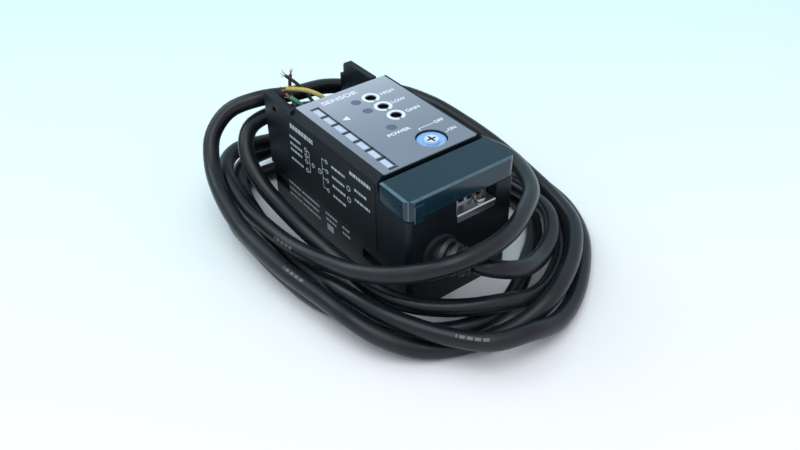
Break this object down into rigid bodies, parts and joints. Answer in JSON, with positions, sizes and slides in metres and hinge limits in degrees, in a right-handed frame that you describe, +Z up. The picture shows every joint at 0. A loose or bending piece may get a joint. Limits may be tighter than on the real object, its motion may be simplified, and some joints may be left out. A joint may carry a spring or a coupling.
{
  "type": "photoelectric sensor amplifier",
  "caption": "Box-shaped through-beam sensor amplifier with a printed panel, hinged smoked cover, open rear terminals and a long black cable wound round its case.",
  "frame": {"origin": "under the middle of the case, on the surface it stands on", "axes": "+X across the case to the right seen from the front, +Y to the rear with the open terminals, +Z up"},
  "size_m": [0.108, 0.1379, 0.0501],
  "materials": {
    "board_green": "glass-fibre laminate",
    "boot_rubber": "soft matte",
    "cable_jacket": "satin jacket",
    "case_black": "fine satin moulded",
    "component_black": "moulded",
    "component_blue": "moulded",
    "dial_blue": "metallised satin",
    "label_dark": "printed satin film",
    "lamp": "epoxy on substrate",
    "lens": "tinted clear",
    "light_guide": "frosted clear",
    "panel_grey": "printed satin film",
    "plate_nickel": "nickel plated",
    "rotor_grey": "moulded",
    "screw_steel": "zinc plated",
    "smoked_clear": "clear smoked polycarbonate",
    "terminal_black": "moulded",
    "wire_black": "insulation",
    "wire_blue": "insulation",
    "wire_brown": "insulation",
    "wire_green": "insulation",
    "wire_grey": "insulation",
    "wire_yellow": "insulation"
  },
  "bodies": {
    "case": {"bar_led_array": "lamp", "bar_light_guide": "light_guide", "base_case": "case_black", "board_connector": "component_black", "cable_boot": "boot_rubber", "cable_core_1": "wire_brown", "cable_core_2": "wire_blue", "cable_core_3": "wire_black", "case_screw_1": "screw_steel", "case_screw_2": "screw_steel", "case_screw_3": "screw_steel", "case_screw_4": "screw_steel", "control_chip": "component_black", "display_board": "board_green", "filter_capacitor": "component_blue", "front_terminal_block": "terminal_black", "front_terminal_screw_1": "screw_steel", "front_terminal_screw_2": "screw_steel", "front_terminal_screw_3": "screw_steel", "front_terminal_screw_4": "screw_steel", "indicator_led_high": "lamp", "indicator_led_low": "lamp", "indicator_led_power": "lamp", "indicator_lens_high": "lens", "indicator_lens_low": "lens", "indicator_lens_power": "lens", "main_board": "board_green", "output_cable": "cable_jacket", "output_transistor": "component_black", "power_switch_body": "component_blue", "rear_terminal_block": "terminal_black", "rear_terminal_clamp_1": "plate_nickel", "rear_terminal_clamp_2": "plate_nickel", "rear_terminal_clamp_3": "plate_nickel", "rear_terminal_clamp_4": "plate_nickel", "rear_terminal_screw_1": "screw_steel", "rear_terminal_screw_2": "screw_steel", "rear_terminal_screw_3": "screw_steel", "rear_terminal_screw_4": "screw_steel", "rear_wire_black_1": "wire_black", "rear_wire_black_2": "wire_black", "rear_wire_green": "wire_green", "rear_wire_grey": "wire_grey", "rear_wire_yellow": "wire_yellow", "shield_plate": "plate_nickel", "shield_plate_screw": "screw_steel", "side_label": "label_dark", "top_panel": "panel_grey", "trimmer_body_gain": "component_blue", "trimmer_body_high": "component_blue", "trimmer_body_low": "component_blue", "upper_case": "case_black"},
    "cover": {"front_cover": "smoked_clear"},
    "high_rotor": {"trimmer_rotor_high": "rotor_grey"},
    "low_rotor": {"trimmer_rotor_low": "rotor_grey"},
    "gain_rotor": {"trimmer_rotor_gain": "rotor_grey"},
    "power_dial": {"power_switch_dial": "dial_blue"}
  },
  "joints": [
    {"name": "cover_hinge", "type": "hinge", "parent": "case", "child": "cover", "pos_m": [0, -0.0286, 0.0397], "axis": [-1, 0, 0], "range_deg": [0, 98]},
    {"name": "high_trimmer_turn", "type": "hinge", "parent": "case", "child": "high_rotor", "pos_m": [0.0051, 0.0127, 0.041], "axis": [0, 0, 1], "range_deg": [-135, 135]},
    {"name": "low_trimmer_turn", "type": "hinge", "parent": "case", "child": "low_rotor", "pos_m": [0.0051, 0.00585, 0.041], "axis": [0, 0, 1], "range_deg": [-135, 135]},
    {"name": "gain_trimmer_turn", "type": "hinge", "parent": "case", "child": "gain_rotor", "pos_m": [0.0051, -0.001, 0.041], "axis": [0, 0, 1], "range_deg": [-135, 135]},
    {"name": "power_switch_turn", "type": "hinge", "parent": "case", "child": "power_dial", "pos_m": [0.0054, -0.0184, 0.041], "axis": [0, 0, 1], "range_deg": [-90, 0]}
  ]
}
